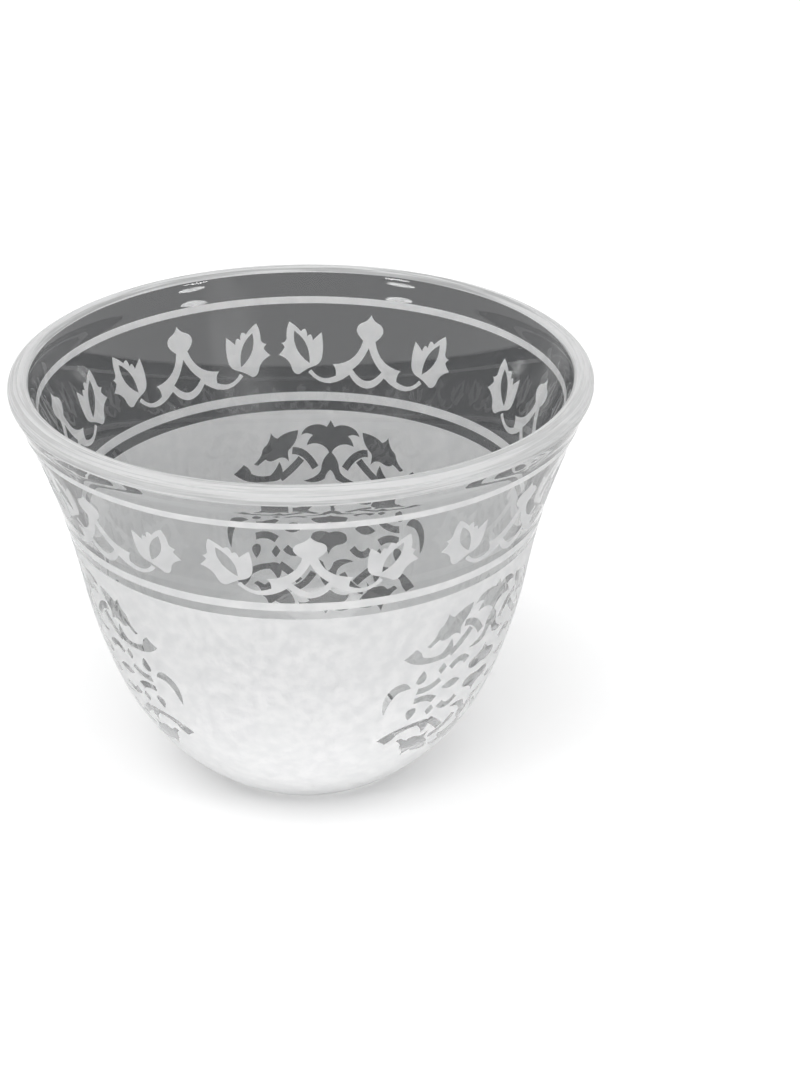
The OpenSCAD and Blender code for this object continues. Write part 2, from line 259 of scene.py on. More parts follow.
@dataclass(frozen=True)
class ClearGlass:
    """Pressed clear glass, a little wavy.

    Seen from inside the wall, the outer face turns into a painted dark ground: painted shade that
    makes the clear far wall look smoke grey on the white floor, as it would before a dark ground,
    with lighter streaks that are painted reflections.
    The lip bead carries painted light, a white share in streaks that stands for light gathered in
    the rim.
    """

    ior: float = 1.5
    body: Colour = (0.992, 0.996, 0.996, 1.0)
    # Painted shade: the dark glass that the outer face turns into when seen from inside, how much
    # of it there is, and the streaks of painted reflection that thin it.
    painted_dark_ground: Colour = (0.0045, 0.0047, 0.005, 1.0)
    painted_shade_low: float = 0.9
    painted_shade_high: float = 0.99
    painted_streak_scale: float = 70.0
    painted_streak_stretch: Triple = (1, 1, 0.3)
    painted_streak_mask: Span = (0.52, 0.78)
    wave_scale: float = 55.0
    wave_stretch: Triple = (1, 1, 0.5)
    wave_share: float = 0.5
    inner_wave: float = 0.00001
    outer_wave: float = 0.00007
    smear_scale: float = 160.0
    smear_stretch: Triple = (1, 1, 0.25)
    smear_mask: Span = (0.55, 0.8)
    smooth_roughness: float = 0.006
    smear_roughness: float = 0.004
    # Painted light: the white of the lip bead, how much of the glass it covers and the streaks it
    # lies in.
    painted_glow: Colour = (0.985, 0.99, 0.99, 1.0)
    painted_glow_low: float = 0.55
    painted_glow_high: float = 1.0
    painted_glow_along: float = 60.0
    painted_glow_across: float = 2100.0
    painted_glow_mask: Span = (0.38, 0.58)
    painted_glow_through: float = 0.5

    def _glass(self, sheet: ShaderSheet, colour: Colour, wave: float) -> Wire:
        """A glass shader in a colour, with waves of a height in metres and faint smears."""
        waves = sheet.noise(self.wave_scale, 1.0, self.wave_stretch)
        smears = sheet.noise(self.smear_scale, 3.0, self.smear_stretch).between(*self.smear_mask)
        return sheet.add(
            "ShaderNodeBsdfPrincipled",
            {},
            {
                "Base Color": colour,
                "Roughness": self.smooth_roughness + smears * self.smear_roughness,
                "IOR": self.ior,
                "Transmission Weight": 1.0,
                "Normal": sheet.bump(waves, self.wave_share, wave),
            },
        )

    def inside(self) -> bpy.types.Material:
        """The material of the inner side of the lip, the inner wall and the foot."""
        material, sheet = ShaderSheet.for_material("clear_glass")
        sheet.finish(self._glass(sheet, self.body, self.inner_wave))
        return material

    def _with_painted_dark_ground(self, sheet: ShaderSheet) -> Wire:
        """Glass that is clear from outside, with a painted dark ground that makes it smoke grey
        from inside the wall.
        """
        # Painted shade: seen from inside the wall the outer face turns to dark glass, in lighter
        # streaks of painted reflection, except for rays that have scattered off a matt surface.
        behind = sheet.add("ShaderNodeNewGeometry", {}, {}, "Backfacing")
        scattered = sheet.add("ShaderNodeLightPath", {}, {}, "Diffuse Depth").at_most(1)
        streaks = sheet.noise(self.painted_streak_scale, 3.0, self.painted_streak_stretch).between(*self.painted_streak_mask)
        thickness = self.painted_shade_high - streaks * (self.painted_shade_high - self.painted_shade_low)
        painted_shade = behind * (1 - scattered) * thickness
        clear = self._glass(sheet, self.body, self.outer_wave)
        return sheet.mix(painted_shade, clear, self._glass(sheet, self.painted_dark_ground, self.outer_wave))

    def outside(self) -> bpy.types.Material:
        """The material of the outer wall, with its painted dark ground seen from inside."""
        material, sheet = ShaderSheet.for_material("clear_glass_outer_wall_painted_shade")
        sheet.finish(self._with_painted_dark_ground(sheet))
        return material

    def lip(self) -> bpy.types.Material:
        """The material of the lip bead: glass mixed with a painted glow, white matt and
        translucent shares in soft streaks along the rim that stand for light the rim gathers.
        """
        material, sheet = ShaderSheet.for_material("clear_glass_lip_painted_glow")
        seen_from_glass = sheet.add("ShaderNodeNewGeometry", {}, {}, "Backfacing")
        streaks = sheet.streaks(self.painted_glow_along, self.painted_glow_across).between(*self.painted_glow_mask)
        # Painted light: white matt and translucent shares, seen only from outside the glass, that
        # stand for light gathered in the rim.
        white = sheet.add("ShaderNodeBsdfDiffuse", {}, {"Color": self.painted_glow})
        through = sheet.add("ShaderNodeBsdfTranslucent", {}, {"Color": self.painted_glow})
        light = sheet.mix(self.painted_glow_through, white, through)
        painted_glow_level = self.painted_glow_low + streaks * (self.painted_glow_high - self.painted_glow_low)
        share = painted_glow_level * (1 - seen_from_glass)
        sheet.finish(sheet.mix(share, self._with_painted_dark_ground(sheet), light))
        return material


@dataclass(frozen=True)
class Frosting:
    """Finely etched white frosting: matt, a little uneven, and lit through from behind."""

    thin: Colour = (0.93, 0.935, 0.94, 1.0)
    full: Colour = (0.99, 0.99, 0.99, 1.0)
    # Painted shade: darker colours for the outer face high up the cup, and the heights between
    # which the colour fades from the whiter colours low down.
    painted_shade_upper_thin: Colour = (0.78, 0.785, 0.79, 1.0)
    painted_shade_upper_full: Colour = (0.87, 0.87, 0.87, 1.0)
    painted_shade_fade_low: float = 0.008
    painted_shade_fade_high: float = 0.027
    through: Colour = (0.98, 0.98, 0.98, 1.0)
    sprig_thin: Colour = (0.68, 0.685, 0.69, 1.0)
    sprig_full: Colour = (0.75, 0.75, 0.755, 1.0)
    let_through: float = 0.38
    back_let_through: float = 0.15
    grain_scale: float = 7000.0
    through_spread: float = 0.03
    grain_height: float = 0.00002
    grain_share: float = 0.35
    cloud_scale: float = 800.0
    cloud_mask: Span = (0.3, 0.7)
    speck_scale: float = 1900.0
    speck_mask: Span = (0.58, 0.74)
    speck_share: float = 0.6
    thin_roughness: float = 0.52
    cloud_roughness: float = 0.18
    ior: float = 1.45

    def face(self) -> bpy.types.Material:
        """The material of the outer face of the lines and the belly, with painted shade that
        darkens it higher up.
        """
        return self._material("white_frosting", self.painted_shade_upper_thin, self.painted_shade_upper_full, self.let_through)

    def sprig(self) -> bpy.types.Material:
        """The material of the outer face of the sprigs, whose frosting is thinner."""
        return self._material("thin_frosting", self.sprig_thin, self.sprig_full, self.let_through)

    def back(self) -> bpy.types.Material:
        """The material of the face that lies in the glass."""
        return self._material("white_frosting_back", self.thin, self.full, self.back_let_through)

    def _material(
        self, name: str, thin: Colour, full: Colour, let_through: float
    ) -> bpy.types.Material:
        """Frosting that lets a share of the light through, with painted shade: darker higher up
        the cup and whiter towards the foot.

        Args:
            name: the material's name.
            thin: its colour high on the cup where it is thinnest; a darker colour here is painted
                shade.
            full: its colour high on the cup where it is thickest; a darker colour here is painted
                shade.
            let_through: the share of light that goes through.

        Returns:
            The material.
        """
        material, sheet = ShaderSheet.for_material(name)
        grain = sheet.noise(self.grain_scale, 2.0)
        clouds = sheet.noise(self.cloud_scale, 4.0).between(*self.cloud_mask)
        specks = sheet.noise(self.speck_scale, 1.0).between(*self.speck_mask)
        normal = sheet.bump(grain, self.grain_share, self.grain_height)
        cover = clouds * (1 - specks * self.speck_share)
        # Painted shade: the colour goes from whiter low down to the darker upper colours high up
        # the cup.
        height = sheet.add("ShaderNodeSeparateXYZ", {}, {"Vector": sheet.place()}, "Z")
        painted_shade_share = height.between(self.painted_shade_fade_low, self.painted_shade_fade_high)
        low_down = sheet.blend(cover, self.thin, self.full)
        face = sheet.add(
            "ShaderNodeBsdfPrincipled",
            {},
            {
                "Base Color": sheet.blend(painted_shade_share, low_down, sheet.blend(cover, thin, full)),
                "Roughness": self.thin_roughness + clouds * self.cloud_roughness,
                "IOR": self.ior,
                "Normal": normal,
            },
        )
        lighting = {"Color": self.through, "Normal": normal}
        glow = sheet.add("ShaderNodeBsdfTranslucent", {}, lighting)
        share = let_through + self.through_spread - clouds * (2 * self.through_spread)
        sheet.finish(sheet.mix(share, face, glow))
        return material


def outward(lean: float) -> Vector:
    """The way that the outer side of a wall with that lean looks, as (radius, height)."""
    return Vector((math.cos(lean), -math.sin(lean)))


def two_arcs(down: float, inwards: float, leans: Triple) -> Point:
    """Radii of two arcs that follow each other smoothly down the wall.

    Args:
        down: height that they fall together.
        inwards: distance that they draw in together.
        leans: lean of the wall above them, between them and below them.

    Returns:
        The radius of the upper arc and of the lower one.
    """
    (down_1, down_2), (in_1, in_2) = (
        [abs(turn(b) - turn(a)) for a, b in zip(leans, leans[1:])] for turn in (math.sin, math.cos)
    )
    span = down_1 * in_2 - in_1 * down_2
    return (down * in_2 - inwards * down_2) / span, (inwards * down_1 - down * in_1) / span


@dataclass(frozen=True)
class CupWall:
    """The section of the cup: heel, belly and flare, with the lip, the foot and the bowl."""

    cup_h: float = 50.4
    mouth_d: float = 66.0
    waist_d: float = 52.4
    waist_h: float = 26.5
    foot_d: float = 23.0
    foot_edge_r: float = 1.2
    punt_d: float = 17.0
    punt_h: float = 0.7
    wall_t: float = 2.2
    floor_t: float = 5.0
    lip_r: float = 1.25
    lip_run: float = 3.0
    waist_lean: float = math.radians(9.5)
    knee_lean: float = math.radians(21)
    heel_lean: float = math.radians(55)
    bowl_lean: float = math.radians(55)

    @cached_property
    def waist(self) -> Vector:
        """The point where the belly turns into the flare."""
        return Vector((self.waist_d / 2, self.waist_h))

    @cached_property
    def belly_and_heel(self) -> Point:
        """Radii of the belly and the heel, which together reach from the waist to the table."""
        down = self.waist_h - self.foot_edge_r * (1 - math.sin(self.heel_lean))
        inwards = (self.waist_d - self.foot_d) / 2 - self.foot_edge_r * math.cos(self.heel_lean)
        return two_arcs(down, inwards, (self.waist_lean, self.knee_lean, self.heel_lean))

    @cached_property
    def belly_centre(self) -> Vector:
        """Centre of the belly's arc."""
        return self.waist - self.belly_and_heel[0] * outward(self.waist_lean)

    @cached_property
    def knee(self) -> Vector:
        """The point where the belly turns into the heel."""
        return self.belly_centre + self.belly_and_heel[0] * outward(self.knee_lean)

    @cached_property
    def heel_centre(self) -> Vector:
        """Centre of the heel's arc."""
        return self.knee - self.belly_and_heel[1] * outward(self.knee_lean)

    @cached_property
    def edge_centre(self) -> Vector:
        """Centre of the rounded edge of the foot."""
        heel_r = self.belly_and_heel[1]
        return self.heel_centre + (heel_r - self.foot_edge_r) * outward(self.heel_lean)

    @cached_property
    def lip_centre(self) -> Vector:
        """Centre of the lip bead."""
        return Vector((self.mouth_d / 2 - self.lip_r, self.cup_h - self.lip_r))

    @cached_property
    def flare_r(self) -> float:
        """Radius of the flare, which meets the lip bead without a corner."""
        to_lip = self.lip_centre - self.waist
        return (to_lip.length_squared - self.lip_r**2) / (
            2 * (self.lip_r + to_lip.dot(outward(self.waist_lean)))
        )

    @cached_property
    def flare_centre(self) -> Vector:
        """Centre of the flare's arc, outside the cup."""
        return self.waist + self.flare_r * outward(self.waist_lean)

    @cached_property
    def lip_lean(self) -> float:
        """Lean of the wall where it meets the lip bead."""
        return math.asin((self.lip_centre.y - self.flare_centre.y) / (self.flare_r + self.lip_r))

    @cached_property
    def flare_run(self) -> float:
        """Run of the top of the flare."""
        return self.flare_r * (self.lip_lean - self.waist_lean)

    @cached_property
    def belly_run(self) -> float:
        """Length of the belly's arc."""
        return self.belly_and_heel[0] * (self.knee_lean - self.waist_lean)

    @cached_property
    def heel_run(self) -> float:
        """Length of the heel's arc."""
        return self.belly_and_heel[1] * (self.heel_lean - self.knee_lean)

    def lean_at(self, run: float) -> float:
        """Lean of the outer wall at a run."""
        if run >= 0:
            return self.waist_lean + run / self.flare_r
        if run >= -self.belly_run:
            return self.waist_lean - run / self.belly_and_heel[0]
        return self.knee_lean - (run + self.belly_run) / self.belly_and_heel[1]

    def at(self, run: float, depth: float = 0.0) -> Vector:
        """Point of the outer wall at a run, moved outwards by a depth, as (radius, height)."""
        belly_r, heel_r = self.belly_and_heel
        away = outward(self.lean_at(run))
        if run >= 0:
            return self.flare_centre - (self.flare_r - depth) * away
        if run >= -self.belly_run:
            return self.belly_centre + (belly_r + depth) * away
        return self.heel_centre + (heel_r + depth) * away

    @cached_property
    def bowl(self) -> tuple[float, float]:
        """Radii of the corner and of the dish at the bottom of the bowl."""
        knee = self.knee - self.wall_t * outward(self.knee_lean)
        leans = (self.knee_lean, self.bowl_lean, math.pi / 2)
        return two_arcs(knee.y - self.floor_t, knee.x, leans)


class Side(Enum):
    """Which part of the glass's skin a stretch of the section is."""

    INNER = 0
    OUTER = 1
    LIP = 2


def new_piece(
    name: str, bm: bmesh.types.BMesh, materials: Iterable[bpy.types.Material]
) -> bpy.types.Object:
    """Turns a finished mesh into an object of the scene that rides on the cup.

    Args:
        name: name of the piece.
        bm: its mesh, in metres. It is freed.
        materials: the piece's materials, in the order of its faces' material numbers.

    Returns:
        The new object.
    """
    mesh = bpy.data.meshes.new(name)
    bm.to_mesh(mesh)
    bm.free()
    for material in materials:
        mesh.materials.append(material)
    piece = bpy.data.objects.new(name, mesh)
    bpy.context.scene.collection.objects.link(piece)
    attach(piece, "root")
    LOG.info("%s: %d faces", name, len(mesh.polygons))
    return piece


def sweep(centre: Vector, radius: float, start: float, end: float, steps: int) -> list[Vector]:
    """Points of an arc round a centre, both ends with it.

    Args:
        centre: the arc's centre.
        radius: its radius.
        start: angle of its first point.
        end: angle of its last point.
        steps: number of stretches.

    Returns:
        The points.
    """
    turns = [start + (end - start) * i / steps for i in range(steps + 1)]
    return [centre + radius * Vector((math.cos(a), math.sin(a))) for a in turns]


@dataclass
class GlassBody:
    """The one-piece glass: bell-shaped wall, bead lip, thick floor and a hollow under the foot."""

    wall: CupWall
    finish: ClearGlass
    turns: int = 288
    wall_steps: int = 72
    bead_steps: int = 20
    edge_steps: int = 8
    floor_steps: int = 24
    # Angle round the lip bead where its painted light ends.
    painted_glow_end: float = math.radians(140)

    def section(self) -> list[tuple[Vector, Side]]:
        """The closed half section from the middle of the foot round to the middle of the floor.

        Returns:
            Each point with the side of the glass that the stretch after it belongs to.
        """
        w = self.wall
        punt_r = (w.punt_d**2 / 4 + w.punt_h**2) / (2 * w.punt_h)
        half = math.asin(w.punt_d / 2 / punt_r)
        right, left = math.pi / 2, math.pi
        foot = sweep(Vector((0, w.punt_h - punt_r)), punt_r, right, right - half, self.edge_steps)
        foot += sweep(w.edge_centre, w.foot_edge_r, -right, -w.heel_lean, self.edge_steps)
        low, high = -w.belly_run - w.heel_run, w.flare_run
        runs = [low + (high - low) * i / self.wall_steps for i in range(1, self.wall_steps)]
        outer = [w.at(run) for run in runs]
        bead = sweep(w.lip_centre, w.lip_r, -w.lip_lean, left - w.lip_lean, self.bead_steps)
        top = high - w.lip_run
        fall = -w.belly_run - top
        inner_runs = [top + fall * i / self.wall_steps for i in range(self.wall_steps)]
        inner = self._bead_fall(bead[-1], top) + [w.at(run, -w.wall_t) for run in inner_runs]
        corner_r, dish_r = w.bowl
        knee = w.knee - w.wall_t * outward(w.knee_lean)
        corner = knee - corner_r * outward(w.knee_lean)
        inner += sweep(corner, corner_r, -w.knee_lean, -w.bowl_lean, self.floor_steps)
        dish = Vector((0, w.floor_t + dish_r))
        inner += sweep(dish, dish_r, -w.bowl_lean, -right, self.floor_steps)[1:]
        points = [(p, Side.INNER) for p in foot[:-1]] + [(foot[-1], Side.OUTER)]
        points += [(p, Side.OUTER) for p in outer]
        # The outer part of the bead, out to this angle, takes the lip material with its painted
        # light.
        crown = w.lip_centre.x + w.lip_r * math.cos(self.painted_glow_end)
        sides = [Side.LIP if p.x > crown else Side.INNER for p in bead]
        return points + list(zip(bead, sides)) + [(p, Side.INNER) for p in inner]

    def _bead_fall(self, start: Vector, run: float) -> list[Vector]:
        """Soft run-out of the lip bead into the inner wall.

        Args:
            start: last point of the bead.
            run: run where the inner wall has its even thickness.

        Returns:
            The points between them.
        """
        w = self.wall
        end = w.at(run, -w.wall_t)
        span = (end - start).length
        along_bead = Vector((-math.sin(w.lip_lean), -math.cos(w.lip_lean)))
        lean = w.lean_at(run)
        along_wall = Vector((-math.sin(lean), -math.cos(lean)))
        steps = self.edge_steps
        fall = []
        for i in range(1, steps):
            t = i / steps
            fall.append(
                start * (1 + 2 * t) * (1 - t) ** 2
                + end * t * t * (3 - 2 * t)
                + span * (along_bead * t * (1 - t) ** 2 - along_wall * t * t * (1 - t))
            )
        return fall

    def build(self) -> bpy.types.Object:
        """Turns the section into the glass.

        Returns:
            The piece that stands for the glass body.
        """
        bm = bmesh.new()
        points = self.section()
        rings: list[list[bmesh.types.BMVert]] = []
        turns = [FULL_TURN * i / self.turns for i in range(self.turns)]
        for p, _ in points:
            if p.x < ON_AXIS:
                rings.append([bm.verts.new((0, 0, p.y * MM))])
                continue
            ring = [(p.x * math.cos(a) * MM, p.x * math.sin(a) * MM, p.y * MM) for a in turns]
            rings.append([bm.verts.new(place) for place in ring])
        for (low, high), (_, side) in zip(zip(rings, rings[1:]), points):
            for i in range(self.turns):
                j = (i + 1) % self.turns
                corners = [low[i % len(low)], low[j % len(low)]]
                corners += [high[j % len(high)], high[i % len(high)]]
                face = bm.faces.new(list(dict.fromkeys(corners)))
                face.smooth = True
                face.material_index = side.value
        materials = [self.finish.inside(), self.finish.outside(), self.finish.lip()]
        piece = new_piece("glass_cup", bm, materials)
        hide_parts("glass_body")
        return piece


def curve_through(path: Path, steps: int) -> list[Point]:
    """Fills a path of corners with a control point between each two, as smooth curves.

    Args:
        path: corner, control point, corner and so on.
        steps: stretches in each curve.

    Returns:
        The points, without the last corner.
    """
    points = []
    for k in range(0, len(path) - 2, 2):
        a, b, c = path[k : k + 3]
        for j in range(steps):
            t = j / steps
            u = 1 - t
            points.append(tuple(u * u * a[i] + 2 * t * u * b[i] + t * t * c[i] for i in (0, 1)))
    return points


def mirrored(path: Path) -> list[Point]:
    """A half outline from the top down to the foot, closed by its mirror image."""
    return list(path) + [(-x, y) for x, y in reversed(path[:-1])]


def scaled(path: Path, across: float, up: float, lift: float = 0.0) -> list[Point]:
    """A path in shares as millimetres, lifted along the wall."""
    return [(x * across, y * up + lift) for x, y in path]


@dataclass
class SkinMaker:
    """Lays flat drawings on the outer wall as thin closed skins."""

    wall: CupWall
    finish: Frosting
    proud: float = 0.035
    sunk: float = 0.03
    mean_r: float = 26.0
    cell: float = 1.3
    grid_margin: float = 0.1
    ring_parts: int = 3

    @cached_property
    def plain(self) -> list[bpy.types.Material]:
        """The materials of a line's or the belly's outer face and of its face in the glass."""
        return [self.finish.face(), self.finish.back()]

    @cached_property
    def fine(self) -> list[bpy.types.Material]:
        """The materials of a sprig's outer face and of its face in the glass."""
        return [self.finish.sprig(), self.plain[1]]

    def _spot(self, azimuth: float, run: float, depth: float) -> tuple[Vector, Vector]:
        """Point and outward direction on the wall, in metres.

        Args:
            azimuth: turn round the cup from its front, in radians.
            run: run along the wall.
            depth: distance outwards from the wall.

        Returns:
            The point and the direction.
        """
        p = self.wall.at(run, depth)
        away = outward(self.wall.lean_at(run))
        side, ahead = math.sin(azimuth), -math.cos(azimuth)
        place = Vector((p.x * side, p.x * ahead, p.y)) * MM
        return place, Vector((away.x * side, away.x * ahead, away.y))

    def _bent(self, outline: Path, turn: float) -> list[Point]:
        """Drawn points as (azimuth times the mean radius, run), counterclockwise."""
        bent = [((turn + x / self.wall.at(y).x) * self.mean_r, y) for x, y in outline]
        area = sum(a[0] * b[1] - b[0] * a[1] for a, b in zip(bent, bent[1:] + bent[:1]))
        return bent if area > 0 else bent[::-1]

    def _grid(self, low: Point, high: Point) -> tuple[list[Point], list[list[int]]]:
        """An even grid of cells over a box.

        Args:
            low: its lower left corner.
            high: its upper right corner.

        Returns:
            Corners and cells.
        """
        across = max(1, math.ceil((high[0] - low[0]) / self.cell))
        up = max(1, math.ceil((high[1] - low[1]) / self.cell))
        corners = [
            (low[0] + (high[0] - low[0]) * i / across, low[1] + (high[1] - low[1]) * j / up)
            for j in range(up + 1)
            for i in range(across + 1)
        ]
        row = across + 1
        cells = [
            [j * row + i, j * row + i + 1, (j + 1) * row + i + 1, (j + 1) * row + i]
            for j in range(up)
            for i in range(across)
        ]
        return corners, cells

    def _cut(
        self, box: tuple[Point, Point], filled: list[list[Point]], clear: list[list[Point]]
    ) -> tuple:
        """Splits a box along outlines and keeps what is frosted.

        Args:
            box: lower left and upper right corner of the grid.
            filled: outlines that are frosted. An empty list frosts the whole box.
            clear: outlines that stay clear glass.

        Returns:
            Corners and faces of the frosted part.
        """
        corners, cells = self._grid(*box)
        count = len(cells)
        for outline in filled + clear:
            cells.append(list(range(len(corners), len(corners) + len(outline))))
            corners.extend(outline)
        spots, _, faces, _, _, owners = delaunay_2d_cdt(
            [Vector(p) for p in corners], [], cells, 1, CUT_TOLERANCE, True
        )
        frosted = set(range(count, count + len(filled)))
        bare = set(range(count + len(filled), count + len(filled) + len(clear)))
        kept = [f for f, own in zip(faces, owners)
                if not bare & set(own) and (not filled or frosted & set(own))]
        return spots, kept

    def lay(self, name: str, node: str, turn: float, filled: list[list[Point]],
            clear: list[list[Point]]) -> bpy.types.Object:
        """Makes one motif of frosting.

        Args:
            name: name of the piece.
            node: CAD node that it stands for.
            turn: turn of its middle round the cup, in radians.
            filled: its drawn outlines.
            clear: outlines that are left clear in it.

        Returns:
            The piece.
        """
        bent = [self._bent(o, turn) for o in filled]
        xs, ys = [x for o in bent for x, _ in o], [y for o in bent for _, y in o]
        more = self.grid_margin
        box = ((min(xs) - more, min(ys) - more), (max(xs) + more, max(ys) + more))
        parts = [self._cut(box, bent, [self._bent(o, turn) for o in clear])]
        return self._skin(name, node, parts, self.fine)

    def ring(self, name: str, node: str, low: float, high: float,
             openings: dict[float, list[list[Point]]] | None = None) -> bpy.types.Object:
        """Makes a ring of frosting between two runs, with clear drawings in it.

        Args:
            name: name of the piece.
            node: CAD node that it stands for.
            low: run of its lower edge.
            high: run of its upper edge.
            openings: for the turn of each drawing's middle, its outlines.

        Returns:
            The piece.
        """
        drawings = openings or {
            i * FULL_TURN / self.ring_parts: [] for i in range(self.ring_parts)
        }
        half = math.pi / len(drawings)
        parts = []
        for turn, outlines in drawings.items():
            box = (((turn - half) * self.mean_r, low), ((turn + half) * self.mean_r, high))
            parts.append(self._cut(box, [], [self._bent(o, turn) for o in outlines]))
        return self._skin(name, node, parts, self.plain)

    def _skin(self, name: str, node: str, parts: list,
              materials: list[bpy.types.Material]) -> bpy.types.Object:
        """Gives flat parts their place on the wall and their thickness.

        Args:
            name: name of the piece.
            node: CAD node that it stands for.
            parts: flat corners and faces, as they come from the cut.
            materials: its materials.

        Returns:
            The piece.
        """
        bm = bmesh.new()
        outer: list[tuple[bmesh.types.BMVert, Vector]] = []
        for spots, faces in parts:
            used = sorted({i for f in faces for i in f})
            made = {}
            for i in used:
                place, away = self._spot(spots[i].x / self.mean_r, spots[i].y, self.proud)
                made[i] = bm.verts.new(place)
                outer.append((made[i], away))
            for f in faces:
                bm.faces.new([made[i] for i in f])
        bmesh.ops.remove_doubles(bm, verts=bm.verts[:], dist=WELD * MM)
        bmesh.ops.dissolve_degenerate(bm, edges=bm.edges[:], dist=SLIVER * MM)
        bm.normal_update()
        for f in bm.faces:
            middle = f.calc_center_median()
            if f.normal.dot(Vector((middle.x, middle.y, 0))) < 0:
                f.normal_flip()
        self._thicken(bm)
        piece = new_piece(name, bm, materials)
        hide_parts(node)
        return piece

    def _thicken(self, bm: bmesh.types.BMesh) -> None:
        """Closes the sheet of outer faces with a sunk copy and upright edges."""
        tops = bm.faces[:]
        rims = [e for e in bm.edges if e.is_boundary]
        depth = self.proud + self.sunk
        below = {}
        for v in bm.verts[:]:
            below[v] = bm.verts.new(v.co - self._away(v.co) * depth * MM)
        for f in tops:
            f.smooth = True
            under = bm.faces.new([below[v] for v in reversed(f.verts)])
            under.smooth = True
            under.material_index = 1
        for e in rims:
            loop = e.link_loops[0]
            a, b = loop.vert, loop.link_loop_next.vert
            bm.faces.new([b, a, below[a], below[b]])
            e.smooth = False
            low = bm.edges.get((below[a], below[b]))
            if low:
                low.smooth = False

    def _away(self, place: Vector) -> Vector:
        """Outward direction of the wall at a point near it, in metres."""
        r, z = math.hypot(place.x, place.y) / MM, place.z / MM
        w = self.wall
        flat = Vector((r, z))
        if z >= w.waist.y:
            d = (w.flare_centre - flat).normalized()
        elif z >= w.knee.y:
            d = (flat - w.belly_centre).normalized()
        else:
            d = (flat - w.heel_centre).normalized()
        return Vector((d.x * place.x / (r * MM), d.x * place.y / (r * MM), d.y))


@dataclass
class Border:
    """The rim line and the band line, with seven sprigs of a bud on a scroll and two tulips."""

    maker: SkinMaker
    rim_drop: float = 3.1
    rim_w: float = 0.9
    height: float = 12.1
    band_w: float = 1.1
    middle_turn: float = -48.7
    turn_step: float = 50.2
    sprig_w: float = 23.4
    sprig_h: float = 9.2
    lift: float = 1.3
    drifts: tuple[float, ...] = (2.3, -0.1, -1.7, -0.3, -0.6, 0.1, 2.1)
    steps: int = 7

    BUD_SCROLL = (
        (0, 1), (0.03, 0.924), (0.081, 0.897), (0.158, 0.864), (0.15, 0.772),
        (0.132, 0.707), (0.07, 0.647), (0.128, 0.321), (0.393, 0.299),
        (0.342, 0.245), (0.35, 0.147), (0.513, 0.038), (0.624, 0.223),
        (0.645, 0.212), (0.658, 0.185), (0.444, -0.098), (0.199, 0.168),
        (0.111, 0.005), (0, 0),
    )
    SCROLL_EYE = ((0, 0.553), (0.06, 0.353), (0.167, 0.245), (0.081, 0.103), (0, 0.103))
    TULIP = (
        (0.91, 0.88), (0.835, 0.83), (0.772, 0.745), (0.752, 0.782), (0.724, 0.772),
        (0.7, 0.725), (0.698, 0.675), (0.682, 0.705), (0.66, 0.7),
        (0.638, 0.665), (0.632, 0.62), (0.595, 0.675), (0.543, 0.732),
        (0.504, 0.56), (0.516, 0.4), (0.525, 0.3), (0.605, 0.268),
        (0.684, 0.234), (0.752, 0.163), (0.821, 0.147), (0.855, 0.28),
        (0.889, 0.38), (1, 0.435), (0.96, 0.48), (0.94, 0.535),
        (0.952, 0.57), (0.98, 0.595), (0.935, 0.595), (0.925, 0.655),
        (0.94, 0.788), (0.91, 0.88),
    )
    TULIP_SLIT = ((0.846, 0.755), (0.862, 0.485), (0.65, 0.31), (0.655, 0.6), (0.846, 0.755))

    @property
    def rim_run(self) -> float:
        """Run of the middle of the rim line."""
        return self.maker.wall.flare_run - self.rim_drop

    @property
    def band_run(self) -> float:
        """Run of the middle of the band line."""
        return self.rim_run - self.height

    def _on_sprig(self, shares: Path, side: int = 1) -> list[Point]:
        """An outline of the sprig in millimetres, on its right or left side."""
        path = scaled(shares, side * self.sprig_w / 2, self.sprig_h, self.band_run + self.lift)
        return curve_through(path, self.steps)

    def build(self) -> None:
        """Makes both lines and all the sprigs."""
        for name, node, run, width in (
            ("frosted_rim_line", "rim_line", self.rim_run, self.rim_w),
            ("frosted_band_line", "band_line", self.band_run, self.band_w),
        ):
            self.maker.ring(name, node, run - width / 2, run + width / 2)
        middle = (len(self.drifts) - 1) / 2
        for i, drift in enumerate(self.drifts):
            turn = math.radians(self.middle_turn + (i - middle) * self.turn_step + drift)
            number = i + 1
            self.maker.lay(
                f"frosted_bud_scroll_{number}", f"bud_scroll_{number}", turn,
                [self._on_sprig(mirrored(self.BUD_SCROLL))],
                [self._on_sprig(mirrored(self.SCROLL_EYE))],
            )
            for word, side in (("left", -1), ("right", 1)):
                self.maker.lay(
                    f"frosted_tulip_{word}_{number}", f"tulip_{word}_{number}", turn,
                    [self._on_sprig(self.TULIP, side)], [self._on_sprig(self.TULIP_SLIT, side)],
                )


